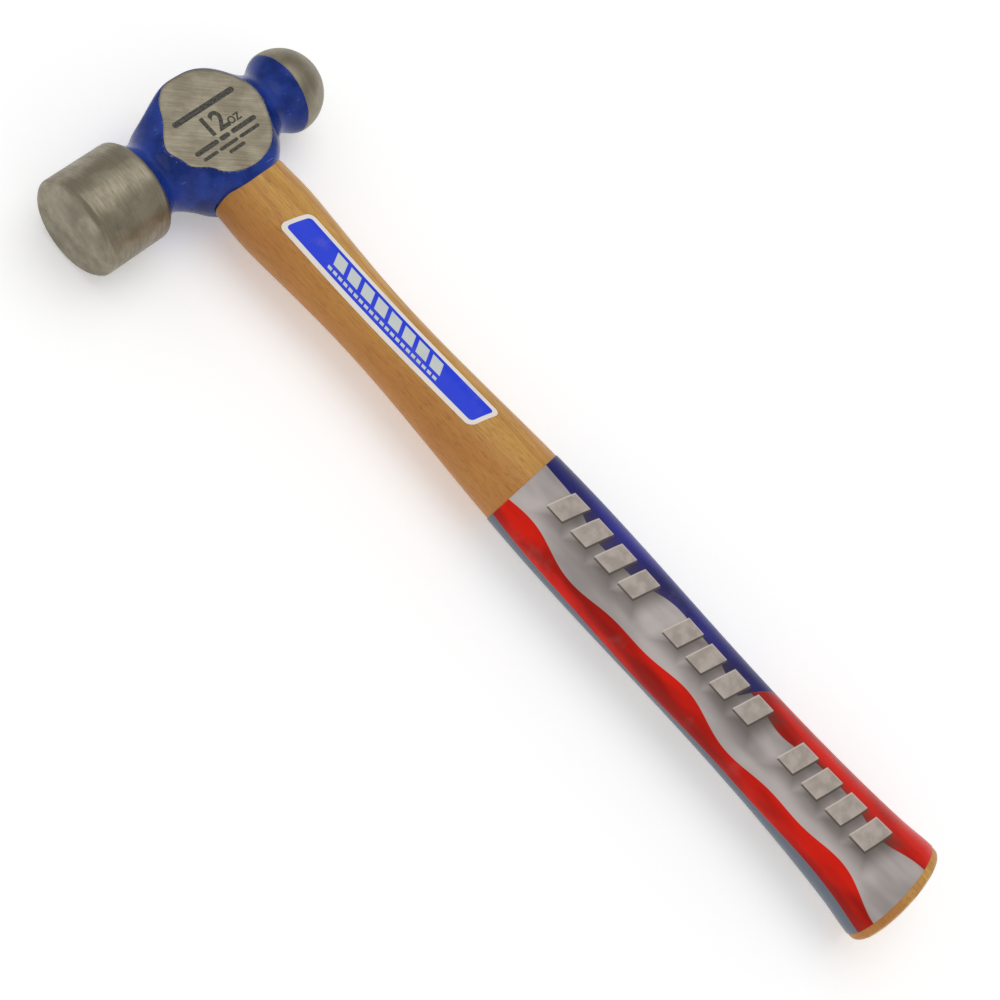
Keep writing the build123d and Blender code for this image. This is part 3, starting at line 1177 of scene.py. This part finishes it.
def wedge_cutter(node):
    """The slot that a wedge sits in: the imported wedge's hull, carried up through the tenon's end."""
    mesh = bpy.data.meshes.new("wedge_cutter")
    with editing(mesh) as work:
        for vertex in frame["nodes"][node].data.vertices:
            work.verts.new(vertex.co)
        hull = bmesh.ops.convex_hull(work, input=work.verts)
        spare = [piece for piece in hull["geom_interior"] if isinstance(piece, bmesh.types.BMVert)]
        bmesh.ops.delete(work, geom=spare, context="VERTS")
        bmesh.ops.recalc_face_normals(work, faces=work.faces)
        top = max(vertex.co.y for vertex in work.verts)
        nearly, carried_up = 0.01 * MM, 2 * MM
        for vertex in work.verts:
            if vertex.co.y > top - nearly:
                vertex.co.y += carried_up
    return add_object("wedge_cutter", mesh)


class HAMMER_OT_wedges(bpy.types.Operator):
    """Give the wooden wedge and the two steel wedges their materials"""

    bl_idname = "hammer.wedges"
    bl_label = "Wedges"

    def execute(self, context):
        pale, dark = (0.56, 0.36, 0.18), (0.33, 0.17, 0.07)
        pith, ring_width, lacquer = (EYE_X, 0.0, 60.0), 1.6, 0.0
        pale_wood = wood_material("wedge_wood", pale, dark, pith, ring_width, lacquer)
        steel = wedge_steel_material(context.scene.hammer_head)
        for node, material in (("wood_wedge", pale_wood), ("steel_wedge_1", steel), ("steel_wedge_2", steel)):
            wedge = frame["nodes"][node]
            wedge.data.materials.clear()
            wedge.data.materials.append(material)
        return {"FINISHED"}


class HAMMER_OT_grip_film(bpy.types.Operator):
    """Build the printed film shrunk over the grip"""

    bl_idname = "hammer.grip_film"
    bl_label = "Grip Film"

    def execute(self, context):
        settings = context.scene.hammer_print
        thickness = settings.film_thickness / MM
        segments = 144
        inner = -0.04
        chamfer, edge = 0.15, thickness * 0.6
        start, end = FILM_HIGH.y, FILM_LOW.y
        # Outside from the head's end to the butt's, and back along the inside: height and growth
        profile = [(start, inner), (start, edge), (start - chamfer, thickness)]
        profile += [(y, thickness) for y in even_steps(start - 1.2, end + 1.2, 1.3)]
        profile += [(end + chamfer, thickness), (end, edge), (end, inner)]
        profile += [(y, inner) for y in even_steps(end + 4.0, start - 4.0, 8.0)]
        rings = []
        for y, growth in profile:
            half_x, half_z = HANDLE_SHAPE.at(y)
            rings.append(ellipse_ring(y, half_x + growth, half_z + growth, segments))
        points = [point for ring in rings for point in ring]
        faces = ring_faces(len(rings), segments)
        last = (len(rings) - 1) * segments
        for i in range(segments):
            j = (i + 1) % segments
            faces.append((last + i, last + j, j, i))
        film = make_object("grip_film_print", points, faces)
        turn_outwards(film)
        wrap = film.data.uv_layers.new(name="wrap")
        for face in film.data.polygons:
            columns = [index % segments for index in face.vertices]
            crosses_seam = max(columns) - min(columns) > 1
            for loop, index, column in zip(face.loop_indices, face.vertices, columns):
                turns = (column + segments if crosses_seam and column == 0 else column) / segments
                y = film.data.vertices[index].co.y / MM
                wrap.data[loop].uv = (turns, (start - y) / (start - end))
        finish_piece(film, film_material(settings), "grip_film", sharp_angle=50.0)
        return {"FINISHED"}


class HAMMER_OT_label(bpy.types.Operator):
    """Build the printed label on the shaft"""

    bl_idname = "hammer.label"
    bl_label = "Shaft Label"

    def execute(self, context):
        settings = context.scene.hammer_print
        half_width = settings.label_width / MM / 2
        half_length = settings.label_length / MM / 2
        slant = settings.label_slant / settings.label_width
        tilt = math.radians(1.1)
        corner = 2.0
        middle_x = (LABEL_LOW.x + LABEL_HIGH.x) / 2
        middle_y = (LABEL_LOW.y + LABEL_HIGH.y) / 2
        outline = rounded_outline(half_width, half_length, corner)
        layers = 6
        flat_points = []
        for layer in range(layers + 1):
            share = 1 - layer / layers
            for x, y in outline:
                spine_y = max(-(half_length - half_width), min(half_length - half_width, y))
                flat_points.append((x * share, spine_y + (y - spine_y) * share))
        count = len(outline)
        points, marks = [], []
        buried = -0.05
        growths = [settings.label_thickness / MM] * len(flat_points) + [buried] * len(flat_points)
        for (u, v), growth in zip(flat_points * 2, growths):
            leaned = v - u * slant
            x = middle_x + u * math.cos(tilt) - leaned * math.sin(tilt)
            y = middle_y + u * math.sin(tilt) + leaned * math.cos(tilt)
            half_x, half_z = HANDLE_SHAPE.at(y) + growth
            z = half_z * math.sqrt(max(0.0, 1 - ((x - EYE_X) / half_x) ** 2))
            points.append((x, y, z))
            marks.append((u, leaned))
        faces = ring_faces(layers + 1, count) + ring_faces(layers + 1, count, len(flat_points))
        for i in range(count):
            j = (i + 1) % count
            faces.append((i, j, len(flat_points) + j, len(flat_points) + i))
        label = make_object("shaft_label", points, faces)
        flat = label.data.uv_layers.new(name="flat")
        for loop in label.data.loops:
            flat.data[loop.index].uv = marks[loop.vertex_index]
        weld(label, 0.01)
        turn_outwards(label)
        finish_piece(label, label_material(settings), "label", sharp_angle=50.0)
        return {"FINISHED"}


def rounded_outline(half_width, half_length, corner):
    """Points round a rectangle with round corners, close enough to bend along its long sides."""
    outline = []
    corner_steps, long_steps, short_steps = 8, 60, 8
    corners = [(1, 1), (-1, 1), (-1, -1), (1, -1)]
    for number, (side_x, side_y) in enumerate(corners):
        for i in range(corner_steps + 1):
            turn = math.pi / 2 * (number + i / corner_steps)
            x = side_x * (half_width - corner) + corner * math.cos(turn)
            y = side_y * (half_length - corner) + corner * math.sin(turn)
            outline.append((x, y))
        next_x, next_y = corners[(number + 1) % 4]
        end_turn = math.pi / 2 * (number + 1)
        from_point = outline[-1]
        to_point = (
            next_x * (half_width - corner) + corner * math.cos(end_turn),
            next_y * (half_length - corner) + corner * math.sin(end_turn),
        )
        steps = long_steps if next_y != side_y else short_steps
        for i in range(1, steps):
            share = i / steps
            outline.append(tuple(a + (b - a) * share for a, b in zip(from_point, to_point)))
    return outline


class HAMMER_OT_stage(bpy.types.Operator):
    """Lay the pale floor and set the soft lights and the camera"""

    bl_idname = "hammer.stage"
    bl_label = "Stage"

    def execute(self, context):
        settings = context.scene.hammer_stage
        scene = context.scene
        low, high = cad_box
        middle = (low + high) / 2
        reach = 8.0
        # The camera looks beside the middle of the box, so that the hammer fills the frame
        off_middle = Vector((-4.2, 5.3, 0.0)) * MM
        mesh = bpy.data.meshes.new("floor")
        with editing(mesh) as work:
            bmesh.ops.create_grid(work, x_segments=4, y_segments=4, size=reach)
        floor = add_object("floor", mesh)
        floor.location = (middle.x, middle.y, low.z)
        floor.data.materials.append(floor_material(settings))

        azimuth, elevation = settings.view_azimuth, settings.view_elevation
        flat_way = Vector((math.sin(azimuth), -math.cos(azimuth), 0.0)) * math.cos(elevation)
        back = flat_way + Vector((0.0, 0.0, math.sin(elevation)))
        level = (-back).to_track_quat("-Z", "Y").to_matrix()
        turned = level @ Matrix.Rotation(settings.view_roll, 3, "Z")
        aim = middle + off_middle
        data = bpy.data.cameras.new("main_view")
        data.lens = settings.lens
        data.sensor_width = 36.0
        data.clip_start = 0.01
        data.clip_end = 20.0
        camera = add_object("main_view", data)
        camera.matrix_world = Matrix.Translation(aim + back * settings.view_distance) @ turned.to_4x4()
        scene.camera = camera

        world = bpy.data.worlds.new("soft_room")
        world.use_nodes = True
        background = world.node_tree.nodes["Background"]
        background.inputs["Color"].default_value = (1.0, 1.0, 1.0, 1.0)
        background.inputs["Strength"].default_value = 0.62
        scene.world = world
        right, up = turned.col[0], turned.col[1]
        # Each light has its direction, its distance and size in metres, and its power in watts
        for name, way, distance, size, power in (
            ("key", right * 0.55 + up * 0.75 + back * 0.9, 1.6, 1.6, 6.2),
            ("fill", right * -1.0 + up * 0.1 + back * 0.8, 1.5, 0.8, 0.6),
            ("low", right * 0.5 - up * 1.0 + back * 0.6, 1.5, 1.0, 0.9),
        ):
            lamp = bpy.data.lights.new(name, "AREA")
            lamp.shape = "DISK"
            lamp.size = size
            lamp.energy = power
            light = add_object(name, lamp)
            place = middle + way.normalized() * distance
            facing = (middle - place).to_track_quat("-Z", "Y").to_matrix().to_4x4()
            light.matrix_world = Matrix.Translation(place) @ facing
        scene.view_settings.view_transform = "Standard"
        return {"FINISHED"}


class HAMMER_PT_panel(bpy.types.Panel):
    """Lists the hammer's pieces and sizes"""

    bl_label = "Ball Peen Hammer"
    bl_space_type = "VIEW_3D"
    bl_region_type = "UI"
    bl_category = "Hammer"

    def draw(self, context):
        layout = self.layout
        for operator in OPERATORS:
            layout.operator(operator.bl_idname)
        for name in SETTINGS:
            settings = getattr(context.scene, name)
            box = layout.box()
            for key in settings.bl_rna.properties.keys():
                if key not in {"rna_type", "name"}:
                    box.prop(settings, key)


SETTINGS = {
    "hammer_head": HammerHeadSettings,
    "hammer_handle": HammerHandleSettings,
    "hammer_print": HammerPrintSettings,
    "hammer_stage": HammerStageSettings,
}
OPERATORS = (
    HAMMER_OT_head,
    HAMMER_OT_weight_mark,
    HAMMER_OT_handle,
    HAMMER_OT_wedges,
    HAMMER_OT_grip_film,
    HAMMER_OT_label,
    HAMMER_OT_stage,
)


def register():
    """Registers the settings, operators and panel."""
    for name, group in SETTINGS.items():
        bpy.utils.register_class(group)
        setattr(bpy.types.Scene, name, bpy.props.PointerProperty(type=group))
    for operator in OPERATORS:
        bpy.utils.register_class(operator)
    bpy.utils.register_class(HAMMER_PT_panel)


def unregister():
    """Takes back everything that register added."""
    bpy.utils.unregister_class(HAMMER_PT_panel)
    for operator in reversed(OPERATORS):
        bpy.utils.unregister_class(operator)
    for name, group in SETTINGS.items():
        delattr(bpy.types.Scene, name)
        bpy.utils.unregister_class(group)


def main():
    """Builds every piece and the stage."""
    register()
    bpy.ops.hammer.head()
    bpy.ops.hammer.weight_mark()
    bpy.ops.hammer.handle()
    bpy.ops.hammer.wedges()
    bpy.ops.hammer.grip_film()
    bpy.ops.hammer.label()
    bpy.ops.hammer.stage()


if __name__ == "__main__":
    main()
